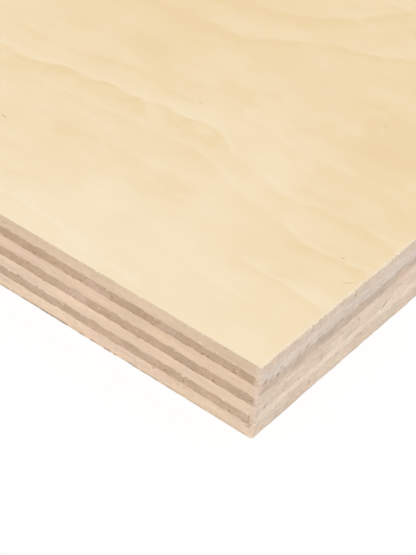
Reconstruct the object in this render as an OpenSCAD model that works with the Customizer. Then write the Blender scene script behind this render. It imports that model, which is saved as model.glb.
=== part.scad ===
// Seven-ply plywood sheet, lying on its back face.
// Veneers are glued with the grain of each ply square to the next, so the outer
// and inner plies run along X and the crossbands between them run along Y.
// Origin: centre of the back face. +X along the face grain, +Z out of the good face.

/* [Sheet] */
// Length of the sheet, along the grain of the face
sheet_length = 1220; // [600:1:2440]
// Width of the sheet, across the grain of the face
sheet_width = 610; // [300:1:1220]
// Radius that handling has worn on the four upright corners
corner_r = 0.3; // [0.1:0.1:5]

/* [Plies] */
// Thickness of the face ply, after sanding
face_ply_t = 2.75; // [1:0.05:4]
// Thickness of each inner ply, with its grain along the sheet
inner_ply_t = 2.75; // [1:0.05:4]
// Thickness of each crossband, with its grain across the sheet
crossband_t = 2.2; // [1:0.05:4]
// Thickness of the back ply, after sanding
back_ply_t = 3.15; // [1:0.05:4]

/* [Hidden] */

// Thickness of every ply, in the order they are laid up from the back
layup = [
    back_ply_t, crossband_t, inner_ply_t, crossband_t,
    inner_ply_t, crossband_t, face_ply_t
];

// Sides of a full circle, for the corner arcs
$fn = 64;

// Colours of the cut edges, and of the sanded outer veneers
long_grain_tone = [0.89, 0.79, 0.68];
crossband_tone = [0.78, 0.67, 0.56];
face_tone = [0.95, 0.88, 0.75];
back_tone = [0.92, 0.84, 0.70];

// Height of a ply's underside: the sum of the plies below it
function ply_floor(i) = i == 0 ? 0 : ply_floor(i - 1) + layup[i - 1];

// Outline that every ply is trimmed to when the pressed sheet is sawn square
module sheet_outline() {
    square([sheet_length - 2 * corner_r, sheet_width], center = true);
    square([sheet_length, sheet_width - 2 * corner_r], center = true);
    for (x = [-1, 1], y = [-1, 1])
        translate([x * (sheet_length / 2 - corner_r), y * (sheet_width / 2 - corner_r)])
            circle(r = corner_r);
}

// One veneer of the layup, lying on the ply below it
module ply(i) {
    translate([0, 0, ply_floor(i)])
        linear_extrude(height = layup[i])
            sheet_outline();
}

module back_ply() { color(back_tone) ply(0); }

module lower_crossband() { color(crossband_tone) ply(1); }

module lower_inner_ply() { color(long_grain_tone) ply(2); }

module centre_crossband() { color(crossband_tone) ply(3); }

module upper_inner_ply() { color(long_grain_tone) ply(4); }

module upper_crossband() { color(crossband_tone) ply(5); }

module face_ply() { color(face_tone) ply(6); }

back_ply();
lower_crossband();
lower_inner_ply();
centre_crossband();
upper_inner_ply();
upper_crossband();
face_ply();
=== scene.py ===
"""Seven-ply plywood sheet lying flat, seen at one corner.

Every ply of the frame is replaced by a veneer whose sawn edge has torn fibres, chips and
small voids. The wood is a solid pattern: one grain direction for each ply gives streaks
where the saw ran along the fibres and end grain where it cut across them.
"""
import math
from collections import namedtuple

import bpy
import numpy as np
from mathutils import Matrix, Vector, geometry


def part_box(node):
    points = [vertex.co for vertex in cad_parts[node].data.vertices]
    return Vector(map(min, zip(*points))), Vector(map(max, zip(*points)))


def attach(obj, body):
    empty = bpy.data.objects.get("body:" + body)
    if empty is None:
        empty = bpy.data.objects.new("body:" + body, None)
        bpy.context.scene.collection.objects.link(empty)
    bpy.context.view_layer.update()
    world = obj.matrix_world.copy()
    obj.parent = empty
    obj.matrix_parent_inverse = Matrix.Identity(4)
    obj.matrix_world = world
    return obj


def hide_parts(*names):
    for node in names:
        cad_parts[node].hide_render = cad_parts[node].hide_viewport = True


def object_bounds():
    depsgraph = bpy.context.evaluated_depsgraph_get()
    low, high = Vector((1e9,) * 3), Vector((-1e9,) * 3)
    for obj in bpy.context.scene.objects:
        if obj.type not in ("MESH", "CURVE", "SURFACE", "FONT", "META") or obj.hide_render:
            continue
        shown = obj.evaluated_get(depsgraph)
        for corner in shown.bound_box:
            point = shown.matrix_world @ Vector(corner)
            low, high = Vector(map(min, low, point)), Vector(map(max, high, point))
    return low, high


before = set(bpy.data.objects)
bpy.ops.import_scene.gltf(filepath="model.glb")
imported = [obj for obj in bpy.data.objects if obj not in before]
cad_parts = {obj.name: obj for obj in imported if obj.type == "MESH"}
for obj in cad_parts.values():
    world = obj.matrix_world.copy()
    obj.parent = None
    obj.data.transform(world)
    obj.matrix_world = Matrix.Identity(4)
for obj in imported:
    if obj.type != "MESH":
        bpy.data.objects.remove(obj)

CAD_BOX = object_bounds()

# Units: shapes and patterns are worked out in millimetres, and meshes are scaled to metres
MM = 0.001

# Plies from the back up. Tones are sRGB: the cut along the grain and the end grain.
# Blush is the share of warm streaks. The seed picks the ply's patterns, each with a number added to it
Ply = namedtuple("Ply", "node slot grain long_tone end_tone blush seed")
PLIES = [
    Ply("back_ply", "back_veneer", "X", (236, 212, 186), (225, 208, 188), 0.40, 265.2),
    Ply("lower_crossband", "crossband_veneer", "Y", (239, 220, 201), (200, 173, 146), 0.12, 394.8),
    Ply("lower_inner_ply", "inner_veneer", "X", (239, 212, 185), (231, 213, 193), 0.15, 34.0),
    Ply("centre_crossband", "crossband_veneer", "Y", (233, 213, 192), (200, 171, 143), 0.12, 41.0),
    Ply("upper_inner_ply", "inner_veneer", "X", (231, 204, 175), (205, 185, 166), 0.12, 231.9),
    Ply("upper_crossband", "crossband_veneer", "Y", (228, 212, 198), (196, 167, 138), 0.12, 177.6),
    Ply("face_ply", "face_veneer", "X", (225, 200, 170), (223, 205, 185), 0.12, 245.9),
]

# Other sRGB tones of the sawn edges and the faces
WARM_TONE = (233, 190, 152)
ROSY_TONE = (231, 199, 181)
GREY_TONE = (204, 188, 166)
SEAM_TONE = (217, 194, 171)
# Painted shade inside the voids of a sawn edge; the same dark tone also colours pores, glue dots and the
# specks along the back arris
MARK_AND_VOID_SHADE_TONE = (122, 94, 72)
NICK_TONE = (250, 237, 212)
WORN_TONE = (230, 207, 187)
RIM_TONE = (247, 232, 210)
FLECK_TONE = (150, 116, 78)
FACE_TONES = [(247, 230, 199), (238, 212, 167)]
BACK_TONES = [(242, 225, 194), (231, 205, 164)]

# Noise patterns that go to both sides of 0: how far, the size of a patch along the grain, across it and
# up, and the detail of the noise
Sway = namedtuple("Sway", "reach size detail", defaults=[2.0])
SWAY_RANGE = (0.28, 0.72)
PATCHES = Sway(0.060, (13.0, 4.5, 2.6))
STRETCHES = Sway(0.030, (45.0, 30.0, 12.0))
STREAKS = Sway(0.016, (30.0, 1.6, 0.7))
FUZZ = Sway(1.0, (1.1, 0.7, 0.5))
STROKES = Sway(-0.08, (8.0, 1.8, 0.42), 3.0)
RAGGED_DRAG = Sway(0.15, (9.0, 4.0, 3.0))
LINE_WOBBLE = Sway(0.9, (9.0, 6.0, 90.0))
LINE_JITTER = Sway(0.35, (2.6, 2.6, 90.0))
LINE_BREAKS = Sway(0.50, (3.6, 2.8, 90.0))
FAR_CLOUDS = Sway(0.42, (520.0, 95.0, 90.0))
CLOUDS = Sway(0.15, (17.0, 12.0, 90.0))
RAGGED_U = Sway(4.0, (6.0, 4.0, 90.0))
RAGGED_V = Sway(2.2, (6.0, 4.0, 90.0))
FACE_STREAKS = Sway(0.006, (60.0, 0.8, 10.0), 3.0)

# Noise patterns of marks: the size of a mark, the noise at which it starts and is full, the values
# outside and inside it, and the detail of the noise. Warm marks take the blush of their ply inside
Marks = namedtuple("Marks", "size start full outside inside detail", defaults=[2.0])
WARM = Marks((16.0, 2.6, 1.4), 0.50, 0.72, 0.0, 1.0)
ROSY = Marks((14.0, 9.0, 3.0), 0.48, 0.72, 0.0, 0.45)
GREY = Marks((22.0, 6.0, 3.0), 0.46, 0.72, 0.0, 0.28)
SCRATCHES = Marks((8.0, 2.2, 0.55), 0.60, 0.72, 0.0, 0.12)
STROKE_CLUSTERS = Marks((30.0, 7.0, 5.0), 0.42, 0.62, 0.0, 1.0, 1.0)
PORES = Marks((1.6, 0.40, 0.34), 0.67, 0.80, 0.0, 0.45, 1.0)
GLUE_DOTS = Marks((1.1, 1.1, 30.0), 0.50, 0.66, 0.0, 0.55, 1.0)
# Dark specks along the arris of the back, in stretches; they darken the lowest part of the sawn edge
BOTTOM_SPECK_MARKS = Marks((1.8, 1.8, 9.0), 0.38, 0.56, 0.0, 0.6, 4.0)
BOTTOM_SPECK_STRETCHES = Marks((40.0, 40.0, 90.0), 0.38, 0.58, 0.35, 1.25, 1.0)
FLECKS = Marks((1.8, 0.55, 10.0), 0.80, 0.86, 0.0, 0.35, 1.0)
RIM_TUFTS = Marks((1.6, 1.6, 9.0), 0.38, 0.62, 0.2, 1.4)
LINES_SHOWN = Marks((13.0, 9.0, 90.0), 0.3, 0.7, 0.6, 1.2)
RINGS_SHOWN = Marks((150.0, 40.0, 90.0), 0.3, 0.7, 0.1, 2.0, 1.0)

# Sizes of the plain noises: fibres of the edges and the faces, frayed fibres, stains of the glue
EDGE_FIBRES = (7.0, 0.42, 0.22)
FACE_FIBRES = (18.0, 0.35, 10.0)
FRAY_SIZE = (0.7, 0.7, 9.0)
STAIN_SIZE = (260.0, 180.0, 90.0)
STAIN_SHARE = 0.4
NOISE_RANGE = (0.3, 0.7)

# Lightness of the sawn edges: fibres, the part of them that shows along the grain, fuzz on the long
# edges, on those of the back ply and at the ends of the sheet, and the lean of the strokes
FIBRE_LIGHT = 0.045
FIBRES_ALONG = 0.5
SIDE_FUZZ = 0.030
BACK_FUZZ = 0.055
END_FUZZ = 0.068
STROKE_LEAN = math.radians(52.0)

# Where the tones and marks of the sawn edges show, and how strongly
END_CUT = (0.55, 0.95)
SEAM_START = 0.38
SEAM_SHARE = 0.22
WORN_SHARE = 0.7
WORN_MARKS = 0.25
# Painted shade in the voids: the share of a full void's depth at which it starts and where it is full, and
# its strongest share
VOID_SHADE_SHOWN = (0.15, 1.1)
VOID_SHADE_SHARE = 0.62
SPLINTER_SHOWN = (-0.9, -0.15)
SPLINTER_PALE = 0.55
FRAY_SHOWN = (0.58, 0.74)
FRAY_PALE = 0.7
FRAY_UNDER = (0.45, 0.15)
END_FRAY = 0.16
GLUE_DOT_REACH = (0.03, 0.18)
# Heights over the floor, in millimetres, where the dark specks of the back arris are full and where they are
# gone, and their share at the ends
BOTTOM_SPECK_HEIGHT = (0.25, 0.75)
BOTTOM_SPECKS_AT_ENDS = 0.35

# Pale rim of a face: its strength at the ends and along the sides of the sheet, and its width
RIM_AT_ENDS = 0.5
RIM_AT_SIDES = 0.25
RIM_WIDTH = (0.2, 1.2)

# Roughness of the woods, depth of their finest relief, and their gloss
STREAK_RANGE = (-0.05, 0.05)
EDGE_ROUGHNESS = (0.72, 0.88)
FACE_ROUGHNESS = (0.58, 0.68)
GLUED_ROUGHNESS = (0.7, 0.8)
EDGE_BUMP = 0.06
FACE_BUMP = 0.012
GLUED_BUMP = 0.01
GLOSS = 0.25

# Ends of the sheet, where the saw dragged fibres up over the ply above: share of the lower ply's tone at
# the glue line, and reach as a share of a ply's thickness
DRAG_SHARE = 0.6
DRAG_REACH = 0.40

# Layout of the maps for baking: the sawn edge in runs over the lower part, then boxes for the faces
EDGE_RUNS = 32
EDGE_SHARE = 0.5
RUN_MARGIN = 0.1
RUN_HEIGHT = 0.8
SHOWN_BOX = (0.004, 0.504, 0.892, 0.446)
SMALL_BOX = (0.906, 0.504, 0.09, 0.045)
HIDDEN_BOXES = [(0.004, 0.504, 0.49, 0.245), (0.506, 0.504, 0.49, 0.245)]

# Outline of the sheet. Corners go round from the front left: front right, rear right, rear left
HALF_LENGTH, HALF_WIDTH, SHEET_TOP = np.array(CAD_BOX[1]) / MM
CORNER_SIGNS = [(-1, -1), (1, -1), (1, 1), (-1, 1)]
CORNER_RADIUS = 0.3
CORNER_WEAR = [0.5, 0.3, 0.4, 0.45]
CORNER_WEAR_TOP = 0.35
CORNER_WEAR_RISE = 8.0
CORNER_STEPS = 6

# Worn strips beside the upright corners: width, how ragged, size of the raggedness up and along, border
WORN_STRIP = 0.95
WORN_RAGGED = 0.6
WORN_RAGGED_SIZE = (2.4, 0.8)
WORN_BORDER = 0.3
WORN_SEED = 81

# Columns of the edge mesh: fine near the corners, wider between them
FINE_STEP = 0.33
WIDE_STEP = 2.4
FINE_REACH = 80.0
FINE_FADE = 60.0

# Rows of the edge mesh, as shares of a ply's thickness
ROWS = np.array([0.0, 0.03, 0.09, 0.18, 0.3, 0.42, 0.55, 0.68, 0.8, 0.9, 0.97, 1.0])

# A ply's two faces: a rim just behind the sawn edge, then rings of points that thin out inwards
RIM_DEPTH = 0.7
RIM_RADIUS = 0.9
FACE_RINGS = [(2.4, 2.8), (8.0, 7.0), (22.0, 20.0), (60.0, 55.0), (140.0, 115.0), (230.0, 170.0)]

# Waviness of the glue lines: torn over a crossband, straighter under it
SLOW_WANDER = 0.16
SLOW_LENGTH = 48.0
TORN_WANDER = 0.30
STRAIGHT_WANDER = 0.18
TORN_LENGTH = 2.4
TORN_STEEP = 2.2
TOOTH_SHARE = 1.15
TOOTH_LENGTH = 0.85
LINE_SEEDS = 11

# Slow bend of the six glue lines, from the back up, along the right end next to the front corner
RIGHT_BEND = [0.35, 0.30, 0.0, -0.52, -0.70, 0.0]
BEND_START = 4.0
BEND_END = (90.0, 190.0)
FACES_RIGHT = 0.99

# Relief of the sawn edge: depth behind the frame's outline
LEAST_SINK = 0.01
END_SINK = 0.02
SAW_WAVE = 0.05
SAW_WAVE_LENGTH = (15.0, 15.0, 7.0)
SAW_SEED = 3
LONG_ROUGH = 0.06
END_ROUGH = 0.09
FIBRE_SIZE = (9.0, 0.7, 0.35)
FIBRE_SEED = 40
GLUE_GROOVE = 0.03
GLUE_GROOVE_WIDTH = 0.10
SHALLOWEST = 0.005
DEEPEST = 0.6

# Worn arrises: least and most radius of the wear
TOP_ARRIS = (0.06, 0.20)
BACK_ARRIS = (0.10, 0.36)
ARRIS_LENGTH = 2.2
TOP_ARRIS_SEED = 71
BACK_ARRIS_SEED = 73

# Voids and splits in the sawn edge, and pale splinters, whose depth is below 0. These lie near the front
# right corner, at a distance from it along the front or the right edge and at a depth under the face
Void = namedtuple("Void", "edge along under half_along half_up depth lean", defaults=[0.0])
VOIDS = [
    Void("right", 2.3, 4.9, 0.45, 0.32, 0.42),
    Void("right", 6.2, 5.7, 0.32, 0.42, 0.50),
    Void("right", 7.0, 4.5, 0.42, 0.26, 0.34, 0.3),
    Void("right", 16.2, 1.8, 0.46, 0.28, 0.28),
    Void("right", 16.4, 1.0, 0.30, 0.30, 0.28),
    Void("right", 25.9, 1.2, 0.30, 0.36, 0.24),
    Void("right", 14.0, 12.3, 0.38, 0.32, 0.36),
    Void("right", 21.2, 10.8, 0.46, 0.26, 0.36, 0.4),
    Void("right", 17.9, 15.8, 0.38, 0.32, 0.44),
    Void("right", 3.1, 12.0, 0.40, 0.30, 0.42),
    Void("right", 43.0, 12.2, 1.10, 0.28, 0.48, 0.3),
    Void("right", 13.0, 4.7, 0.28, 0.28, 0.24),
    Void("right", 15.3, 4.7, 0.52, 0.28, 0.48, 0.4),
    Void("right", 30.6, 1.8, 0.45, 0.28, 0.36),
    Void("right", 39.7, 4.9, 0.36, 0.28, 0.26),
    Void("right", 7.4, 5.7, 0.26, 0.26, -0.36),
    Void("right", 8.7, 8.7, 0.30, 0.26, -0.36),
    Void("right", 17.8, 4.7, 0.30, 0.34, -0.40),
    Void("right", 29.5, 0.5, 0.34, 0.30, -0.40),
    Void("right", 31.3, 4.8, 0.32, 0.38, -0.42),
    Void("right", 35.5, 4.9, 0.32, 0.30, -0.38),
    Void("front", 1.2, 13.6, 0.12, 1.30, 0.28),
    Void("front", 1.0, 15.6, 0.50, 0.20, 0.36, -0.3),
    Void("front", 0.5, 10.2, 0.16, 1.60, -0.30),
    Void("front", 1.6, 12.6, 0.16, 0.90, -0.26),
    Void("front", 5.8, 4.2, 0.26, 0.40, 0.30),
    Void("front", 11.9, 4.8, 0.34, 0.28, 0.34),
    Void("front", 17.9, 15.6, 0.30, 0.26, 0.36),
    Void("front", 24.0, 15.4, 0.32, 0.24, 0.30),
    Void("front", 35.1, 4.2, 0.26, 0.34, 0.34),
    Void("front", 43.0, 4.8, 0.34, 0.26, 0.34),
    Void("front", 56.7, 8.0, 0.32, 0.28, 0.28),
    Void("front", 59.2, 12.9, 0.36, 0.28, 0.26),
]
VOID_REACH = 3.0
# Depth of a void in millimetres that counts as 1 for its painted shade
FULL_VOID = 0.3

# Other voids and splinters, scattered over the edges of the crossbands: least and most of a measure, or
# its spread. Voids lie over the lower glue line, splinters at the upper one
RANDOM_VOIDS = 1000
VOID_SEED = 5
VOID_DEPTH = (0.12, 0.40)
VOID_HALF_ALONG = (0.12, 0.45)
VOID_HALF_UP = (0.11, 0.24)
VOID_LEAN = 0.4
VOID_RISE = 0.5
SPLINTER_SHARE = 0.4
SPLINTER_RISE = 0.3
PlacedVoid = namedtuple("PlacedVoid", "place normal height half_along half_up depth lean")

# Growth lines of the face near the front right corner: pale above, dark below. Points give the
# distance from the right end and from the front edge
GrowthLine = namedtuple("GrowthLine", "pale dark rise fall points")
GROWTH_LINES = [
    GrowthLine(0.80, 0.10, 3.0, 3.0, [(26, 1.5), (40, 2.5), (50, 4), (60, 5.3), (78, 6)]),
    GrowthLine(0.45, 0.25, 3.0, 3.0, [(8, 13), (18, 13), (30, 13)]),
    GrowthLine(0.95, 0.45, 5.0, 4.5, [(-10, 21.5), (8, 21.5), (26, 22)]),
    GrowthLine(0.35, 0.10, 3.0, 5.0, [(38, 33), (46, 34), (54, 34), (62, 34), (72, 36), (84, 38)]),
    GrowthLine(0.75, 0.75, 3.0, 5.0, [(-10, 35), (7, 35), (12, 34), (22, 36), (28, 37)]),
    GrowthLine(0.50, 0.25, 3.0, 5.0, [(22, 36.5), (33, 39), (39, 40.5), (44, 42), (50, 44)]),
    GrowthLine(0.38, 0.50, 3.0, 6.0, [(42, 41.5), (49, 44), (59, 43), (69, 43), (80, 41.5), (100, 39)]),
    GrowthLine(0.60, 0.60, 3.0, 6.0, [(-10, 45), (7, 46), (16, 46), (24, 45), (34, 45)]),
    GrowthLine(0.60, 0.40, 3.0, 5.0, [(24, 45), (32, 45.5), (38, 47), (46, 49.5), (54, 53)]),
    GrowthLine(0.60, 1.60, 3.0, 9.0, [(44, 49), (54, 53), (60, 52), (67, 51), (88, 49), (96, 46),
                                      (114, 47)]),
    GrowthLine(0.25, 0.80, 3.0, 3.0, [(58, 59), (68, 58), (78, 60), (92, 56), (114, 54)]),
    GrowthLine(0.30, 0.35, 3.0, 8.0, [(-6, 52), (4, 55), (11, 59), (19, 60), (30, 59), (38, 60), (48, 61)]),
    GrowthLine(0.38, 1.20, 8.0, 5.0, [(26, 110), (36, 107), (45, 101), (53, 98), (62, 93), (70, 87), (76, 86),
                                      (104, 86)]),
    GrowthLine(0.30, 1.90, 7.0, 10.0, [(44, 131), (48, 126), (54, 117), (59, 110.5), (64, 105.5),
                                       (70, 102.5), (96, 99)]),
]
LINE_START = -10.0
LINE_SPAN = 150.0
LINE_BLUR = 0.8
LINE_FADE = 7.0
FIGURE_SHARE = 0.28

# Spots on the face near the same corner: soft clouds in its tone, and small dark marks. A spot fades
# between two squared distances from its middle, counted in its half length and half width. The
# distances of its middle from the right end and from the front edge are u and v
Spot = namedtuple("Spot", "strength u v half_length half_width turn", defaults=[0.0])
TONE_SPOTS = [
    Spot(-0.12, 36.0, 12.0, 16.0, 9.0),
    Spot(0.15, 8.0, 33.0, 8.0, 10.0),
    Spot(-0.15, 36.0, 26.0, 10.0, 7.0),
    Spot(0.16, 48.0, 30.0, 5.0, 3.0, 0.2),
    Spot(0.15, 61.0, 30.5, 5.0, 2.8),
    Spot(0.20, 77.0, 32.5, 6.0, 3.0, 0.1),
    Spot(0.20, 12.0, 54.0, 14.0, 9.0),
    Spot(0.15, 60.0, 64.0, 6.0, 6.0),
    Spot(-0.18, 47.0, 66.0, 5.0, 5.0),
    Spot(0.20, 22.0, 80.0, 8.0, 7.0),
    Spot(0.16, 10.0, 58.0, 9.0, 4.0),
    Spot(0.18, 88.0, 60.0, 16.0, 9.0),
    Spot(-0.20, 42.0, 77.0, 11.0, 8.0),
    Spot(-0.22, 67.0, 73.0, 9.0, 6.0),
    Spot(0.20, 92.0, 84.0, 10.0, 6.0),
    Spot(-0.14, 68.0, 7.5, 10.0, 4.5),
    Spot(-0.14, 43.0, 2.5, 8.0, 3.0),
    Spot(0.11, 27.0, 66.0, 12.0, 9.0),
    Spot(-0.10, 31.0, 51.0, 7.0, 4.0),
    Spot(0.20, 46.0, 116.0, 5.0, 5.0),
    Spot(0.16, 79.0, 15.0, 6.0, 5.0),
    Spot(-0.16, 53.0, 21.5, 8.0, 4.0),
]
DARK_SPOTS = [
    Spot(0.34, 7.3, 36.1, 0.6, 0.15, 0.1),
    Spot(0.34, 2.4, 30.6, 1.3, 0.12, -0.75),
    Spot(0.30, 60.7, 58.5, 0.7, 0.14),
    Spot(0.24, 26.6, 79.9, 0.5, 0.18),
    Spot(0.34, 87.0, 24.9, 0.8, 0.22, 0.2),
]
TONE_SPOT_FADE = (0.0, 2.4)
DARK_SPOT_FADE = (0.2, 1.6)

# Tone across the width of the face near that corner: share of the deeper tone at a distance from the
# front edge. Past the reach of the corner's lines the tone and the lines are made by noise
TONE_BANDS = [(0, 0.28), (12, 0.31), (30, 0.48), (58, 0.48), (75, 0.81), (92, 0.76), (112, 0.78), (150, 0.6)]
TONE_REACH = 150.0
CORNER_REACH = (100.0, 165.0)
FAR_TONE = 0.55
HILL_SIZE = (400.0, 92.0, 90.0)
HILL_DETAIL = 4.0
HILL_ROUGHNESS = 0.32
HILL_RINGS = 17.0
SLOPE_RING = 62.0
RING_BLUR = (0.475, 0.5)
RING_FALL = 4.0
FACE_SEED = 4.0
BACK_SEED = 17.0

# Edges of a veneer sharper than this keep a crease
CREASE = math.radians(32.0)

# Camera, solved from the sheet's edges in the photograph
IMAGE_WIDTH = 416
IMAGE_HEIGHT = 555
CAMERA_AZIMUTH = math.radians(34.67)
CAMERA_ELEVATION = math.radians(39.65)
CAMERA_ROLL = math.radians(5.88)
FOCAL_PIXELS = 1659.8
SENSOR_WIDTH = 36.0
CORNER_PIXEL = (261.4, 369.05)
CORNER_DEPTH = 295.63
CLIP_START = 0.01
CLIP_END = 100.0

# Light
WORLD_LIGHT = 0.62
SUN_LIGHT = 1.35
SUN_AZIMUTH = math.radians(38.0)
SUN_ELEVATION = math.radians(62.0)
SUN_SPREAD = math.radians(40.0)
FLOOR_SIZE = 24.0
FLOOR_WHITE = 0.97
FLOOR_GLOW = 0.86


# Numbers

def srgb(tone):
    """A linear colour with alpha, from an sRGB tone of three numbers up to 255."""
    share = np.array(tone) / 255.0
    linear = np.where(share <= 0.04045, share / 12.92, ((share + 0.055) / 1.055) ** 2.4)
    return (*linear.tolist(), 1.0)


def smoothstep(value):
    t = np.clip(value, 0.0, 1.0)
    return t * t * (3.0 - 2.0 * t)


def lattice(ix, iy, iz, seed):
    """A fixed random number from 0 to 1 for each point of a whole-number lattice."""
    mixed = np.sin(ix * 127.1 + iy * 311.7 + iz * 74.7 + seed * 19.19) * 43758.5453
    return mixed - np.floor(mixed)


def noise(x, y, z, seed, steep=1.0):
    """Value noise from 0 to 1, the same on every run. Over 1, steep gives steps with flat tops."""
    cell = [np.floor(axis) for axis in (x, y, z)]
    part = [smoothstep((axis - low - 0.5) * steep + 0.5) for axis, low in zip((x, y, z), cell)]
    total = 0.0
    for dx in (0, 1):
        for dy in (0, 1):
            for dz in (0, 1):
                weight = part[0] if dx else 1.0 - part[0]
                weight = weight * (part[1] if dy else 1.0 - part[1])
                weight = weight * (part[2] if dz else 1.0 - part[2])
                total = total + weight * lattice(cell[0] + dx, cell[1] + dy, cell[2] + dz, seed)
    return total


# Outline

def side_shares(length):
    """Places along one straight side, as shares of its length, fine near its two ends."""
    steps = [0.0]
    while steps[-1] < length / 2.0:
        widen = smoothstep((steps[-1] - FINE_REACH) / FINE_FADE)
        steps.append(steps[-1] + FINE_STEP + (WIDE_STEP - FINE_STEP) * widen)
    half = np.array(steps) / steps[-1] / 2.0
    return np.concatenate([half[1:], 1.0 - half[-2:0:-1]])


def rounded_outline(inset, radii, shares):
    """Points and outward normals round the sheet: for each corner its arc, then the side after it."""
    points = []
    normals = []
    half = np.array([HALF_LENGTH - inset, HALF_WIDTH - inset])
    for index, sign in enumerate(CORNER_SIGNS):
        following = (index + 1) % 4
        angles = math.pi + (index + np.linspace(0.0, 1.0, CORNER_STEPS + 1)) * math.pi / 2.0
        arc = np.stack([np.cos(angles), np.sin(angles)], 1)
        points.append((half - radii[index]) * sign + radii[index] * arc)
        normals.append(arc)
        start = points[-1][-1]
        end = (half - radii[following]) * CORNER_SIGNS[following] + radii[following] * arc[-1]
        places = shares[index % 2][:, None]
        points.append(start + (end - start) * places)
        normals.append(np.repeat(arc[-1:], len(places), 0))
    return np.concatenate(points), np.concatenate(normals)


EDGE_SHARES = [side_shares(2.0 * (half - CORNER_RADIUS)) for half in (HALF_LENGTH, HALF_WIDTH)]
OUTLINE, NORMALS = rounded_outline(0.0, [CORNER_RADIUS] * 4, EDGE_SHARES)
COLUMN_COUNT = len(OUTLINE)
COLUMN_GAP = np.linalg.norm(np.roll(OUTLINE, -1, 0) - OUTLINE, axis=1)
FINENESS = FINE_STEP / np.maximum(COLUMN_GAP, FINE_STEP)


def worn_outline(height):
    """The outline at one height: the corners are worn rounder below the face, most at the back."""
    below = (SHEET_TOP - height) / SHEET_TOP
    worn = CORNER_WEAR_TOP * smoothstep(CORNER_WEAR_RISE * below) + (1.0 - CORNER_WEAR_TOP) * below ** 2
    radii = [CORNER_RADIUS + wear * worn for wear in CORNER_WEAR]
    return rounded_outline(0.0, radii, EDGE_SHARES)[0]


# Glue lines

def line_noise(length, seed, steep=1.0):
    """Noise along the sheet's edge, from -0.5 to 0.5."""
    x, y = OUTLINE.T / length
    return noise(x, y, np.zeros(COLUMN_COUNT), seed, steep) - 0.5


def right_bend():
    """1 along the right end near the front corner, fading to 0 at the corner and far from it."""
    along = OUTLINE[:, 1] + HALF_WIDTH
    start, end = BEND_END
    fade = smoothstep(along / BEND_START) * (1.0 - smoothstep((along - start) / (end - start)))
    return np.where(NORMALS[:, 0] > FACES_RIGHT, fade, 0.0)


def glue_line(level, index):
    """Height of one glue line at every column."""
    over_crossband = PLIES[index - 1].grain == "Y"
    wander = TORN_WANDER if over_crossband else STRAIGHT_WANDER
    seed = LINE_SEEDS * index
    height = level + SLOW_WANDER * line_noise(SLOW_LENGTH, seed)
    height = height + RIGHT_BEND[index - 1] * right_bend()
    height = height + wander * line_noise(TORN_LENGTH, seed + 1, TORN_STEEP)
    return height + TOOTH_SHARE * wander * line_noise(TOOTH_LENGTH, seed + 2) * FINENESS


def glue_lines():
    """Levels of the back, the six glue lines and the face, and their heights at every column."""
    levels = [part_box(ply.node)[0].z / MM for ply in PLIES] + [SHEET_TOP]
    lines = [np.full(COLUMN_COUNT, level) for level in levels]
    for index in range(1, len(PLIES)):
        lines[index] = glue_line(levels[index], index)
    return levels, lines


# Relief of the sawn edge

def named_voids():
    """The listed voids near the front right corner, placed on the sheet's edges."""
    placed = []
    for void in VOIDS:
        place = (HALF_LENGTH, void.along - HALF_WIDTH)
        normal = (1.0, 0.0)
        if void.edge == "front":
            place = (HALF_LENGTH - void.along, -HALF_WIDTH)
            normal = (0.0, -1.0)
        form = (void.half_along, void.half_up, void.depth, void.lean)
        placed.append(PlacedVoid(np.array(place), np.array(normal), SHEET_TOP - void.under, *form))
    return placed


def random_voids():
    """A seeded scatter of voids and splinters over the crossbands, all round the sheet."""
    placed = []
    chance = np.random.default_rng(VOID_SEED)
    crossbands = [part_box(ply.node) for ply in PLIES if ply.grain == "Y"]
    for _ in range(RANDOM_VOIDS):
        column = chance.integers(COLUMN_COUNT)
        low, high = crossbands[chance.integers(len(crossbands))]
        depth = chance.uniform(*VOID_DEPTH)
        height = low.z / MM + abs(chance.normal(0.0, VOID_RISE))
        if chance.random() < SPLINTER_SHARE:
            depth = -depth
            height = high.z / MM + chance.normal(0.0, SPLINTER_RISE)
        half_along = chance.uniform(*VOID_HALF_ALONG)
        half_up = chance.uniform(*VOID_HALF_UP)
        lean = chance.normal(0.0, VOID_LEAN)
        placed.append(PlacedVoid(OUTLINE[column], NORMALS[column], height, half_along, half_up, depth, lean))
    return placed


PLACED_VOIDS = named_voids() + random_voids()


def void_depth(heights):
    """Depth of the voids at every column and row."""
    depth = np.zeros_like(heights)
    for void in PLACED_VOIDS:
        apart = OUTLINE - void.place
        near = np.flatnonzero(np.abs(apart).max(1) < VOID_REACH * void.half_along)
        along = (apart[near] @ np.array((-void.normal[1], void.normal[0])))[:, None]
        up = heights[near] - void.height - void.lean * along
        depth[near] += void.depth * np.exp(-(along / void.half_along) ** 2 - (up / void.half_up) ** 2)
    return depth


def arris_wear(distance, reach, seed):
    """Depth worn off near an arris."""
    least, most = reach
    chip = (line_noise(ARRIS_LENGTH, seed) + 0.5) ** 2
    radius = (least + (most - least) * chip)[:, None]
    return radius * np.clip(1.0 - distance / radius, 0.0, 1.0) ** 2


def corner_wear(heights):
    """1 on the worn strips beside the upright corners, 0 away from them, at every column and row."""
    gaps = [np.abs(OUTLINE - np.array(sign) * (HALF_LENGTH, HALF_WIDTH)).max(1) for sign in CORNER_SIGNS]
    nearest = np.min(gaps, 0)[:, None]
    up, along = WORN_RAGGED_SIZE
    ragged = noise(heights / up, nearest / along, np.zeros_like(heights), WORN_SEED) - 0.5
    return smoothstep((WORN_STRIP + WORN_RAGGED * ragged - nearest) / WORN_BORDER)


def end_grain_share(ply):
    """How squarely the saw cut across a ply's fibres, at every column."""
    return (NORMALS[:, 0] if ply.grain == "X" else NORMALS[:, 1])[:, None] ** 2


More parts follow.
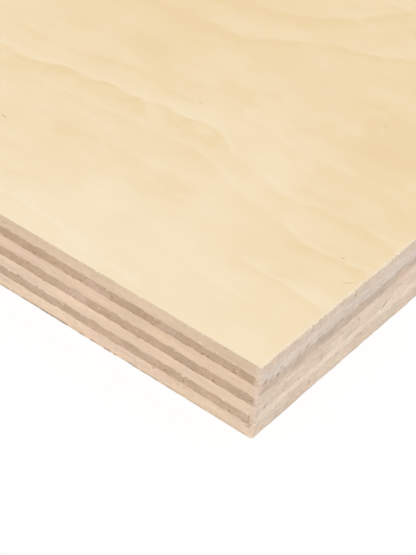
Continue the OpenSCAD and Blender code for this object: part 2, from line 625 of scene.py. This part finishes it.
def edge_relief(index, heights, low, high):
    """Depth of the sawn edge behind the outline, for the columns and rows of one ply."""
    ply = PLIES[index]
    x = np.repeat(OUTLINE[:, :1], len(ROWS), 1)
    y = np.repeat(OUTLINE[:, 1:], len(ROWS), 1)
    place = (x, y, heights) if ply.grain == "X" else (y, x, heights)
    end_share = end_grain_share(ply)
    depth = LEAST_SINK + END_SINK * end_share
    waves = noise(*(a / b for a, b in zip((x, y, heights), SAW_WAVE_LENGTH)), SAW_SEED)
    depth = depth + SAW_WAVE * waves
    rough = LONG_ROUGH + (END_ROUGH - LONG_ROUGH) * end_share
    fibres = noise(*(a / b for a, b in zip(place, FIBRE_SIZE)), FIBRE_SEED + index)
    depth = depth + rough * fibres * FINENESS[:, None]
    for line in (low, high):
        gap = (heights - line[:, None]) / GLUE_GROOVE_WIDTH
        depth = depth + GLUE_GROOVE * np.exp(-gap * gap)
    depth = depth + arris_wear(SHEET_TOP - heights, TOP_ARRIS, TOP_ARRIS_SEED)
    return depth + arris_wear(heights, BACK_ARRIS, BACK_ARRIS_SEED)


# Veneer meshes

def face_layout():
    """Points and triangles of a ply's face: the rim first, then rings that thin out inwards."""
    rings = [rounded_outline(RIM_DEPTH, [RIM_RADIUS] * 4, EDGE_SHARES)[0]]
    for inset, gap in FACE_RINGS:
        sides = [2.0 * (half - inset) for half in (HALF_LENGTH, HALF_WIDTH)]
        shares = [np.linspace(0.0, 1.0, max(3, round(side / gap)))[1:-1] for side in sides]
        ring, _ = rounded_outline(inset, [0.0] * 4, shares)
        apart = np.linalg.norm(np.roll(ring, -1, 0) - ring, axis=1) > 0.0
        rings.append(ring[apart])
    points = np.concatenate(rings)
    found = geometry.delaunay_2d_cdt([Vector(p) for p in points], [], [], 0, 1e-9)
    source = np.array([names[0] for names in found[3]])
    return points, source[np.array(found[2])]


FACE_POINTS, FACE_TRIANGLES = face_layout()


def face_vertices(level, line):
    """A ply's face at one level, whose rim follows the glue line."""
    heights = np.full(len(FACE_POINTS), level)
    heights[:COLUMN_COUNT] = line
    return np.column_stack([FACE_POINTS, heights])


def ring_quads(lower, upper):
    """Quads between two closed rows of vertices, given the index of each row's first vertex."""
    here = np.arange(COLUMN_COUNT)
    ahead = np.roll(here, -1)
    return np.column_stack([lower + here, lower + ahead, upper + ahead, upper + here])


def wall_vertices(index, levels, heights, depth):
    """The vertices of a ply's sawn edge, row by row from the lower face up."""
    rows = []
    for row, share in enumerate(ROWS):
        outline = worn_outline(levels[index] + (levels[index + 1] - levels[index]) * share)
        wall = outline - depth[:, row, None] * NORMALS
        rows.append(np.column_stack([wall, heights[:, row]]))
    return np.concatenate(rows)


def veneer_polygons():
    """The polygons of a ply: its sawn edge, the rims of its faces, its lower and its upper face."""
    bottom_start = len(ROWS) * COLUMN_COUNT
    top_start = bottom_start + len(FACE_POINTS)
    quads = [ring_quads(row * COLUMN_COUNT, (row + 1) * COLUMN_COUNT) for row in range(len(ROWS) - 1)]
    quads.append(ring_quads(bottom_start, 0))
    quads.append(ring_quads(bottom_start - COLUMN_COUNT, top_start))
    polygons = np.concatenate(quads).tolist()
    polygons += (FACE_TRIANGLES[:, ::-1] + bottom_start).tolist()
    polygons += (FACE_TRIANGLES + top_start).tolist()
    return polygons


def store(mesh, name, wall, low=0.0, high=0.0):
    """Keeps one number a vertex for the materials: on the sawn edge, the lower and the upper face."""
    lower = np.full(len(FACE_POINTS), low)
    upper = np.full(len(FACE_POINTS), high)
    values = np.concatenate([wall.T.ravel(), lower, upper])
    mesh.attributes.new(name, "FLOAT", "POINT").data.foreach_set("value", values)


def veneer_mesh(name, index, levels, lines):
    """One ply as a closed mesh: its sawn edge all round and its two faces."""
    low, high = lines[index], lines[index + 1]
    heights = low[:, None] + (high - low)[:, None] * ROWS
    voids = void_depth(heights)
    depth = np.clip(edge_relief(index, heights, low, high) + voids, SHALLOWEST, DEEPEST)
    wall = wall_vertices(index, levels, heights, depth)
    lower = face_vertices(levels[index], low)
    upper = face_vertices(levels[index + 1], high)
    vertices = np.concatenate([wall, lower, upper]) * MM
    mesh = bpy.data.meshes.new(name)
    mesh.from_pydata(vertices.tolist(), [], veneer_polygons())
    # The voids' depth, which the sawn edge's material turns into painted shade, and splinters into pale marks
    store(mesh, "void", voids / FULL_VOID)
    store(mesh, "wear", corner_wear(heights))
    store(mesh, "end_grain", np.repeat(end_grain_share(PLIES[index]), len(ROWS), 1))
    store(mesh, "ply_height", np.repeat(ROWS[None], COLUMN_COUNT, 0), 0.0, 1.0)
    return mesh


# Node patterns

class Pattern:
    """One node tree, with a short call for each kind of node."""

    def __init__(self, owner):
        owner.use_nodes = True
        self.owner = owner
        self.tree = owner.node_tree

    def feed(self, socket, value):
        if isinstance(value, bpy.types.NodeSocket):
            self.tree.links.new(value, socket)
        else:
            socket.default_value = value

    def add(self, kind, inputs, output=0, **settings):
        node = self.tree.nodes.new(kind)
        for setting, value in settings.items():
            setattr(node, setting, value)
        for socket, value in inputs.items():
            self.feed(node.inputs[socket], value)
        return node.outputs[output]

    def math(self, operation, a, b=0.0):
        return self.add("ShaderNodeMath", {0: a, 1: b}, operation=operation)

    def total(self, first, *others):
        for other in others:
            first = self.math("ADD", first, other)
        return first

    def product(self, first, *others):
        for other in others:
            first = self.math("MULTIPLY", first, other)
        return first

    def blend(self, share, a, b, blend_type="MIX"):
        inputs = {0: share, 6: a, 7: b}
        return self.add("ShaderNodeMix", inputs, 2, data_type="RGBA", blend_type=blend_type)

    def ramp(self, value, start, end, low=0.0, high=1.0):
        inputs = {"Value": value, "From Min": start, "From Max": end, "To Min": low, "To Max": high}
        return self.add("ShaderNodeMapRange", inputs, interpolation_type="SMOOTHSTEP")

    def curve(self, value, points):
        """A smooth curve through points whose places and values run from 0 to 1."""
        node = self.tree.nodes.new("ShaderNodeFloatCurve")
        knots = node.mapping.curves[0].points
        knots[0].location, knots[1].location = points[0], points[-1]
        for point in points[1:-1]:
            knots.new(*point)
        node.mapping.update()
        self.feed(node.inputs["Value"], value)
        return node.outputs["Value"]

    def attribute(self, name):
        return self.add("ShaderNodeAttribute", {}, "Fac", attribute_name=name)

    def place(self):
        """Place on the sheet in millimetres."""
        here = self.add("ShaderNodeTexCoord", {}, "Object")
        return self.add("ShaderNodeVectorMath", {0: here, 1: (1.0 / MM,) * 3}, operation="MULTIPLY")

    def axes(self, vector):
        node = self.tree.nodes.new("ShaderNodeSeparateXYZ")
        self.feed(node.inputs[0], vector)
        return node.outputs

    def vector(self, x, y, z):
        return self.add("ShaderNodeCombineXYZ", {0: x, 1: y, 2: z})

    def noise(self, place, lengths, seed, detail=2.0, roughness=0.5):
        """Noise from 0 to 1 whose patches have these lengths along the three axes."""
        scale = tuple(1.0 / length for length in lengths)
        spot = self.add("ShaderNodeVectorMath", {0: place, 1: scale}, operation="MULTIPLY")
        inputs = {"Vector": spot, "W": seed, "Scale": 1.0, "Detail": detail, "Roughness": roughness}
        return self.add("ShaderNodeTexNoise", inputs, "Fac", noise_dimensions="4D")

    def sway(self, sway, place, seed):
        """Noise that goes as far below 0 as above it."""
        value = self.noise(place, sway.size, seed, sway.detail)
        return self.ramp(value, *SWAY_RANGE, -sway.reach, sway.reach)

    def marks(self, marks, place, seed):
        """Noise turned into marks with soft borders."""
        value = self.noise(place, marks.size, seed, marks.detail)
        return self.ramp(value, marks.start, marks.full, marks.outside, marks.inside)

    def finish(self, colour, roughness, relief, depth):
        """Joins a wood's colour, roughness and fine relief to its shader."""
        shader = self.tree.nodes["Principled BSDF"]
        normal = self.add("ShaderNodeBump", {"Height": relief, "Distance": depth * MM}, "Normal")
        self.feed(shader.inputs["Base Color"], colour)
        self.feed(shader.inputs["Roughness"], roughness)
        self.feed(shader.inputs["Normal"], normal)
        shader.inputs["Specular IOR Level"].default_value = GLOSS
        return self.owner


# Materials of the sawn edges

# What the patterns of a sawn edge share: the place on the sheet and along the ply's grain, the height
# over the floor and within the ply, and where the saw cut end grain and the ends of the sheet
Cut = namedtuple("Cut", "on_sheet place z height end_share at_ends")


def read_cut(p, ply):
    x, y, z = p.axes(p.place())
    on_sheet = p.vector(x, y, z)
    place = on_sheet if ply.grain == "X" else p.vector(y, x, z)
    end_share = p.ramp(p.attribute("end_grain"), *END_CUT)
    at_ends = end_share if ply.grain == "X" else p.math("SUBTRACT", 1.0, end_share)
    return Cut(on_sheet, place, z, p.attribute("ply_height"), end_share, at_ends)


def dragged_tone(p, below, cut, tone, seed):
    """A ply's tone at the ends of the sheet, mixed near its lower glue line with that of the ply below."""
    ragged = p.total(cut.height, p.sway(RAGGED_DRAG, cut.place, seed))
    share = p.product(p.ramp(ragged, 0.0, DRAG_REACH, DRAG_SHARE, 0.0), cut.at_ends)
    return p.blend(share, tone, srgb(below.end_tone if below.grain == "X" else below.long_tone))


def edge_tone(p, index, cut, seed):
    """Broad colour of a sawn edge: the ply's two tones, warm, rosy and grey patches, soft seams."""
    ply = PLIES[index]
    tone = p.blend(cut.end_share, srgb(ply.long_tone), srgb(ply.end_tone))
    if index > 0:
        tone = dragged_tone(p, PLIES[index - 1], cut, tone, seed + 0.9)
    tone = p.blend(p.marks(WARM._replace(inside=ply.blush), cut.place, seed), tone, srgb(WARM_TONE))
    tone = p.blend(p.marks(ROSY, cut.place, seed + 0.3), tone, srgb(ROSY_TONE))
    tone = p.blend(p.marks(GREY, cut.place, seed + 0.6), tone, srgb(GREY_TONE))
    from_middle = p.math("ABSOLUTE", p.math("SUBTRACT", cut.height, 0.5))
    at_sides = p.math("SUBTRACT", 1.0, cut.at_ends)
    seam = p.product(p.ramp(from_middle, SEAM_START, 0.5, 0.0, SEAM_SHARE), at_sides)
    tone = p.blend(seam, tone, srgb(SEAM_TONE))
    return p.blend(p.product(p.attribute("wear"), WORN_SHARE), tone, srgb(WORN_TONE))


def oblique_strokes(p, cut, seed):
    """Clusters of short strokes that lean through end grain, where the lathe bent and cracked the veneer."""
    along, across, up = p.axes(cut.place)
    cos, sin = math.cos(STROKE_LEAN), math.sin(STROKE_LEAN)
    over = p.total(p.product(across, cos), p.product(up, sin))
    through = p.math("SUBTRACT", p.product(up, cos), p.product(across, sin))
    leaning = p.vector(along, over, through)
    strokes = p.total(p.sway(STROKES, leaning, seed), p.marks(SCRATCHES, leaning, seed + 0.6))
    return p.product(strokes, p.marks(STROKE_CLUSTERS, cut.place, seed + 0.3), cut.end_share)


def edge_light(p, ply, cut, fibres, streaks, seed):
    """Lightness of a sawn edge round 1: broad patches, streaks, fibres, fuzz and strokes."""
    patches = p.sway(PATCHES, cut.place, seed)
    stretches = p.sway(STRETCHES, cut.on_sheet, seed + 0.7)
    grain = p.product(p.ramp(fibres, *NOISE_RANGE, -FIBRE_LIGHT, FIBRE_LIGHT),
                      p.ramp(cut.end_share, 0.0, 1.0, FIBRES_ALONG, 1.0))
    side_fuzz = BACK_FUZZ if ply.slot == "back_veneer" else SIDE_FUZZ
    fuzz = p.product(p.sway(FUZZ, cut.place, seed + 1.4), p.ramp(cut.at_ends, 0.0, 1.0, side_fuzz, END_FUZZ))
    return p.total(1.0, patches, stretches, streaks, grain, fuzz, oblique_strokes(p, cut, seed + 1.8))


def glue_dots(p, cut, seed):
    """Dark dots where glue bled out along the lower line of a crossband."""
    return p.product(p.marks(GLUE_DOTS, cut.place, seed), p.ramp(cut.height, *GLUE_DOT_REACH, 1.0, 0.0))


def dark_bottom_specks(p, cut, seed):
    """Dark specks in stretches along the arris of the back, darker towards the bottom, least at the ends of
    the sheet.
    """
    specks = p.marks(BOTTOM_SPECK_MARKS, cut.on_sheet, seed)
    stretches = p.marks(BOTTOM_SPECK_STRETCHES, cut.on_sheet, seed + 0.3)
    low = p.ramp(cut.z, *BOTTOM_SPECK_HEIGHT, 1.0, 0.0)
    return p.product(specks, stretches, low, p.ramp(cut.at_ends, 0.0, 1.0, 1.0, BOTTOM_SPECKS_AT_ENDS))


def edge_marks(p, ply, cut, seed):
    """Share of the dark marks on a sawn edge: pores, painted shade in voids, glue and dark specks along the
    back arris, fewer on worn corners.
    """
    # Painted shade in the voids, darker the deeper they are
    voids = p.ramp(p.attribute("void"), *VOID_SHADE_SHOWN, 0.0, VOID_SHADE_SHARE)
    dark = p.math("MAXIMUM", p.marks(PORES, cut.place, seed), voids)
    if ply.grain == "Y":
        dark = p.math("MAXIMUM", dark, glue_dots(p, cut, seed + 0.6))
    if ply.slot == "back_veneer":
        dark = p.math("MAXIMUM", dark, dark_bottom_specks(p, cut, seed + 1.0))
    return p.product(dark, p.ramp(p.attribute("wear"), 0.0, 1.0, 1.0, WORN_MARKS))


def pale_nicks(p, ply, cut, seed):
    """Share of the pale marks on a sawn edge: splinters, and frayed fibres along the arris of the face."""
    splinters = p.ramp(p.attribute("void"), *SPLINTER_SHOWN, SPLINTER_PALE, 0.0)
    if ply.slot != "face_veneer":
        return splinters
    frayed = p.total(p.noise(cut.on_sheet, FRAY_SIZE, seed, detail=1.0), p.product(cut.at_ends, END_FRAY))
    lowest, full = (SHEET_TOP - under for under in FRAY_UNDER)
    nicks = p.product(p.ramp(frayed, *FRAY_SHOWN, 0.0, FRAY_PALE), p.ramp(cut.z, lowest, full))
    return p.math("MAXIMUM", splinters, nicks)


def edge_material(index):
    """The sawn edge of one ply: streaks along its grain, and darker mottled end grain."""
    ply = PLIES[index]
    seed = ply.seed
    p = Pattern(bpy.data.materials.new(f"{ply.node}_sawn_edge"))
    cut = read_cut(p, ply)
    fibres = p.noise(cut.place, EDGE_FIBRES, seed + 2.3, detail=3.0)
    streaks = p.sway(STREAKS, cut.place, seed + 1.7)
    light = edge_light(p, ply, cut, fibres, streaks, seed + 1.3)
    colour = p.blend(1.0, edge_tone(p, index, cut, seed), light, "MULTIPLY")
    colour = p.blend(edge_marks(p, ply, cut, seed + 3.7), colour, srgb(MARK_AND_VOID_SHADE_TONE))
    colour = p.blend(pale_nicks(p, ply, cut, seed + 5.1), colour, srgb(NICK_TONE))
    return p.finish(colour, p.ramp(streaks, *STREAK_RANGE, *EDGE_ROUGHNESS), fibres, EDGE_BUMP)


# Materials of the faces

def growth_line(p, u, v, line):
    """One growth line of the veneer: pale just above it and dark just below, fading both ways."""
    points = [((a - LINE_START) / LINE_SPAN, b / LINE_SPAN) for a, b in line.points]
    route = p.curve(p.math("DIVIDE", p.math("SUBTRACT", u, LINE_START), LINE_SPAN), points)
    over = p.math("SUBTRACT", v, p.product(route, LINE_SPAN))
    above = p.ramp(over, -LINE_BLUR, LINE_BLUR)
    pale = p.product(above, p.ramp(over, 0.0, line.rise, line.pale, 0.0))
    dark = p.product(p.math("SUBTRACT", 1.0, above), p.ramp(over, -line.fall, 0.0, 0.0, line.dark))
    start, end = line.points[0][0], line.points[-1][0]
    shown = p.product(p.ramp(u, start, start + LINE_FADE), p.ramp(u, end - LINE_FADE, end, 1.0, 0.0))
    return p.product(p.math("SUBTRACT", pale, dark), shown)


def corner_figure(p, place, u, v, seed):
    """The growth lines near the front right corner."""
    height = p.total(v, p.total(p.sway(LINE_WOBBLE, place, seed), p.sway(LINE_JITTER, place, seed + 0.4)))
    shown = p.total(p.marks(LINES_SHOWN, place, seed + 0.8), p.sway(LINE_BREAKS, place, seed + 1.2))
    return p.product(p.total(*(growth_line(p, u, height, line) for line in GROWTH_LINES)), shown)


def spots(p, u, v, wanted, fade):
    """The sum of soft-edged spots, each at full strength in its middle."""
    parts = []
    for spot in wanted:
        off_u = p.math("SUBTRACT", u, spot.u)
        off_v = p.math("SUBTRACT", v, spot.v)
        cos, sin = math.cos(spot.turn), math.sin(spot.turn)
        along = p.total(p.product(off_u, cos), p.product(off_v, sin))
        beside = p.math("SUBTRACT", p.product(off_v, cos), p.product(off_u, sin))
        along = p.product(along, 1.0 / spot.half_length)
        beside = p.product(beside, 1.0 / spot.half_width)
        apart = p.total(p.product(along, along), p.product(beside, beside))
        parts.append(p.ramp(apart, *fade, spot.strength, 0.0))
    return p.total(*parts)


def corner_tone(p, place, u, v, seed):
    """Share of the deeper tone near the front right corner: bands across the width, and ragged clouds."""
    bands = p.curve(p.math("DIVIDE", v, TONE_REACH), [(a / TONE_REACH, b) for a, b in TONE_BANDS])
    ragged_u = p.total(u, p.sway(RAGGED_U, place, seed))
    ragged_v = p.total(v, p.sway(RAGGED_V, place, seed + 1.0))
    return p.total(bands, spots(p, ragged_u, ragged_v, TONE_SPOTS, TONE_SPOT_FADE))


def sheet_figure(p, place, v, seed):
    """Wavy growth lines over the rest of a face, like the contours of a hilly log."""
    hills = p.noise(place, HILL_SIZE, seed, HILL_DETAIL, HILL_ROUGHNESS)
    rings = p.math("FRACT", p.total(p.math("DIVIDE", v, SLOPE_RING), p.product(hills, HILL_RINGS)))
    crisp = p.ramp(p.math("ABSOLUTE", p.math("SUBTRACT", rings, 0.5)), *RING_BLUR, 1.0, 0.0)
    pale = p.math("POWER", p.math("SUBTRACT", 1.0, rings), RING_FALL)
    dark = p.math("POWER", rings, RING_FALL)
    shown = p.product(p.marks(RINGS_SHOWN, place, seed + 0.5), crisp)
    return p.product(p.math("SUBTRACT", pale, dark), shown)


def pale_rim(p, place, x, y, seed):
    """Share of the pale fibres along the arrises of a face, most where the saw broke them off at the ends."""
    from_end = p.math("SUBTRACT", HALF_LENGTH, p.math("ABSOLUTE", x))
    from_side = p.math("SUBTRACT", HALF_WIDTH, p.math("ABSOLUTE", y))
    at_end = p.ramp(from_end, *RIM_WIDTH, RIM_AT_ENDS, 0.0)
    at_side = p.ramp(from_side, *RIM_WIDTH, RIM_AT_SIDES, 0.0)
    return p.product(p.math("MAXIMUM", at_end, at_side), p.marks(RIM_TUFTS, place, seed))


def face_material(name, pale, deep, seed, lines_at_corner):
    """A sanded rotary-cut veneer: broad tone, growth lines and fine fibre streaks."""
    p = Pattern(bpy.data.materials.new(name))
    place = p.place()
    x, y, _ = p.axes(place)
    u = p.math("SUBTRACT", HALF_LENGTH, x)
    v = p.math("ADD", y, HALF_WIDTH)
    tone = p.math("ADD", p.sway(FAR_CLOUDS, place, seed), FAR_TONE)
    figure = sheet_figure(p, place, v, seed + 2.0)
    flecks = p.marks(FLECKS, place, seed + 5.0)
    if lines_at_corner:
        away = p.ramp(p.math("MAXIMUM", u, v), *CORNER_REACH)
        near_tone = corner_tone(p, place, u, v, seed + 7.0)
        tone = p.total(near_tone, p.product(p.math("SUBTRACT", tone, near_tone), away))
        figure = p.total(p.product(figure, away), corner_figure(p, place, u, v, seed + 3.0))
        flecks = p.math("MAXIMUM", flecks, spots(p, u, v, DARK_SPOTS, DARK_SPOT_FADE))
    tone = p.total(tone, p.sway(CLOUDS, place, seed + 1.0))
    share = p.math("SUBTRACT", tone, p.product(figure, FIGURE_SHARE))
    colour = p.blend(share, srgb(pale), srgb(deep))
    streaks = p.total(1.0, p.sway(FACE_STREAKS, place, seed + 4.0))
    colour = p.blend(1.0, colour, streaks, "MULTIPLY")
    colour = p.blend(flecks, colour, srgb(FLECK_TONE))
    colour = p.blend(pale_rim(p, place, x, y, seed + 9.0), colour, srgb(RIM_TONE))
    fibres = p.noise(place, FACE_FIBRES, seed + 6.0)
    return p.finish(colour, p.ramp(fibres, *NOISE_RANGE, *FACE_ROUGHNESS), fibres, FACE_BUMP)


def glued_face_material(ply):
    """The hidden face of a ply, evenly stained by the glue."""
    p = Pattern(bpy.data.materials.new(f"{ply.node}_glued_face"))
    stain = p.noise(p.place(), STAIN_SIZE, ply.seed + 6.0, detail=1.0)
    colour = p.blend(p.ramp(stain, *NOISE_RANGE, 0.0, STAIN_SHARE), srgb(ply.long_tone), srgb(SEAM_TONE))
    return p.finish(colour, p.ramp(stain, *NOISE_RANGE, *GLUED_ROUGHNESS), stain, GLUED_BUMP)


# The sheet

def paint(mesh, edge, lower, upper):
    """Gives the sawn edge and the two faces of a ply their materials."""
    for material in (edge, lower, upper):
        mesh.materials.append(material)
    wall = np.zeros((len(ROWS) - 1) * COLUMN_COUNT, int)
    rims = np.repeat([1, 2], COLUMN_COUNT)
    faces = np.repeat([1, 2], len(FACE_TRIANGLES))
    mesh.polygons.foreach_set("material_index", np.concatenate([wall, rims, faces]))


def edge_map():
    """Places of the sawn edge on a square map: its length is cut into runs, laid one above another."""
    along = np.concatenate([[0.0], np.cumsum(COLUMN_GAP)])
    run = along[-1] / EDGE_RUNS
    number = np.floor(along[:-1] / run)
    start = (along[:-1] - number * run) / (run + WIDE_STEP)
    end = (along[1:] - number * run) / (run + WIDE_STEP)
    strips = []
    for low, high in zip(ROWS[:-1], ROWS[1:]):
        below = EDGE_SHARE * (number + RUN_MARGIN + RUN_HEIGHT * low) / EDGE_RUNS
        above = EDGE_SHARE * (number + RUN_MARGIN + RUN_HEIGHT * high) / EDGE_RUNS
        strips.append(np.stack([start, below, end, below, end, above, start, above], 1).reshape(-1, 2))
    return np.concatenate(strips)


def lay_out(mesh, lower_box, upper_box):
    """A map for baking, with most room for the sawn edge and for a face that shows."""
    corners = np.empty(len(mesh.loops), int)
    mesh.loops.foreach_get("vertex_index", corners)
    places = np.empty(3 * len(mesh.vertices))
    mesh.vertices.foreach_get("co", places)
    flat = places.reshape(-1, 3)[corners, :2] / MM / (2.0 * HALF_LENGTH, 2.0 * HALF_WIDTH) + 0.5
    layout = edge_map()
    wall = len(layout)
    upper = np.repeat([False, True] * 2, np.repeat([4 * COLUMN_COUNT, 3 * len(FACE_TRIANGLES)], 2))
    low, size = np.array(lower_box[:2]), np.array(lower_box[2:])
    under = low + size * (np.array((1.0, 0.0)) + flat[wall:] * (-1.0, 1.0))
    low, size = np.array(upper_box[:2]), np.array(upper_box[2:])
    over = low + size * flat[wall:]
    layout = np.concatenate([layout, np.where(upper[:, None], over, under)])
    mesh.uv_layers.new(name="OFBake").uv.foreach_set("vector", layout.ravel())


def build_ply(index, levels, lines):
    ply = PLIES[index]
    name = f"{ply.node}_veneer"
    mesh = veneer_mesh(name, index, levels, lines)
    lower = upper = glued_face_material(ply)
    lower_box, upper_box = HIDDEN_BOXES
    if ply.slot == "back_veneer":
        lower = face_material("sanded_back", *BACK_TONES, BACK_SEED, False)
        lower_box, upper_box = SHOWN_BOX, SMALL_BOX
    if ply.slot == "face_veneer":
        upper = face_material("sanded_face", *FACE_TONES, FACE_SEED, True)
        lower_box, upper_box = SMALL_BOX, SHOWN_BOX
    paint(mesh, edge_material(index), lower, upper)
    lay_out(mesh, lower_box, upper_box)
    mesh.polygons.foreach_set("use_smooth", np.ones(len(mesh.polygons), bool))
    mesh.set_sharp_from_angle(angle=CREASE)
    veneer = bpy.data.objects.new(name, mesh)
    bpy.context.scene.collection.objects.link(veneer)
    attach(veneer, "root")
    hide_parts(ply.node)


def build_sheet():
    levels, lines = glue_lines()
    for index in range(len(PLIES)):
        build_ply(index, levels, lines)


# Stage

def direction(azimuth, elevation):
    """From the sheet towards an azimuth, counted from the front, and an elevation."""
    level = math.cos(elevation)
    return Vector((math.sin(azimuth) * level, -math.cos(azimuth) * level, math.sin(elevation)))


def seen_share(p):
    """1 for rays that show the background, 0 for rays that light the sheet."""
    path = p.tree.nodes.new("ShaderNodeLightPath").outputs
    seen = p.math("MAXIMUM", path["Is Camera Ray"], path["Is Glossy Ray"])
    return p.math("MAXIMUM", seen, path["Is Transmission Ray"])


def build_floor():
    """A white floor that keeps the sheet's shadow."""
    mesh = bpy.data.meshes.new("floor")
    half = FLOOR_SIZE / 2.0
    corners = [(x * half, y * half, 0.0) for x, y in CORNER_SIGNS]
    mesh.from_pydata(corners, [], [(0, 1, 2, 3)])
    p = Pattern(bpy.data.materials.new("white_floor"))
    shader = p.tree.nodes["Principled BSDF"]
    shader.inputs["Base Color"].default_value = (FLOOR_WHITE, FLOOR_WHITE, FLOOR_WHITE, 1.0)
    shader.inputs["Roughness"].default_value = 1.0
    shader.inputs["Specular IOR Level"].default_value = 0.0
    glow = p.add("ShaderNodeEmission", {"Strength": 1.0})
    share = p.product(seen_share(p), FLOOR_GLOW)
    shown = p.add("ShaderNodeMixShader", {0: share, 1: shader.outputs["BSDF"], 2: glow})
    p.feed(p.tree.nodes["Material Output"].inputs["Surface"], shown)
    mesh.materials.append(p.owner)
    floor = bpy.data.objects.new("floor", mesh)
    bpy.context.scene.collection.objects.link(floor)


def build_light():
    """A soft white world, and a wide sun that rakes down both near edges."""
    world = bpy.data.worlds.new("studio")
    bpy.context.scene.world = world
    p = Pattern(world)
    background = p.tree.nodes["Background"]
    background.inputs["Color"].default_value = (1.0, 1.0, 1.0, 1.0)
    p.feed(background.inputs["Strength"], p.ramp(seen_share(p), 0.0, 1.0, WORLD_LIGHT, 1.0))
    lamp = bpy.data.lights.new("soft_sun", "SUN")
    lamp.energy = SUN_LIGHT
    lamp.angle = SUN_SPREAD
    sun = bpy.data.objects.new("soft_sun", lamp)
    sun.rotation_euler = direction(SUN_AZIMUTH, SUN_ELEVATION).to_track_quat("Z", "Y").to_euler()
    bpy.context.scene.collection.objects.link(sun)


def build_camera():
    """Camera that shows the near corner of the face at its pixel in the photograph."""
    back = direction(CAMERA_AZIMUTH, CAMERA_ELEVATION)
    level_right = Vector((math.cos(CAMERA_AZIMUTH), math.sin(CAMERA_AZIMUTH), 0.0))
    level_up = back.cross(level_right)
    right = level_right * math.cos(CAMERA_ROLL) + level_up * math.sin(CAMERA_ROLL)
    up = level_up * math.cos(CAMERA_ROLL) - level_right * math.sin(CAMERA_ROLL)
    corner = Vector((HALF_LENGTH, -HALF_WIDTH, SHEET_TOP))
    aside = (CORNER_PIXEL[0] - IMAGE_WIDTH / 2.0) * CORNER_DEPTH / FOCAL_PIXELS
    below = (CORNER_PIXEL[1] - IMAGE_HEIGHT / 2.0) * CORNER_DEPTH / FOCAL_PIXELS
    place = corner + back * CORNER_DEPTH - right * aside + up * below
    data = bpy.data.cameras.new("camera")
    data.sensor_width = SENSOR_WIDTH
    data.lens = FOCAL_PIXELS * SENSOR_WIDTH / IMAGE_HEIGHT
    data.clip_start = CLIP_START
    data.clip_end = CLIP_END
    camera = bpy.data.objects.new("camera", data)
    turn = Matrix((right, up, back)).transposed().to_4x4()
    camera.matrix_world = Matrix.Translation(place * MM) @ turn
    bpy.context.scene.collection.objects.link(camera)
    bpy.context.scene.camera = camera


build_camera()
build_light()
build_floor()
build_sheet()
bpy.context.scene.view_settings.view_transform = "Standard"
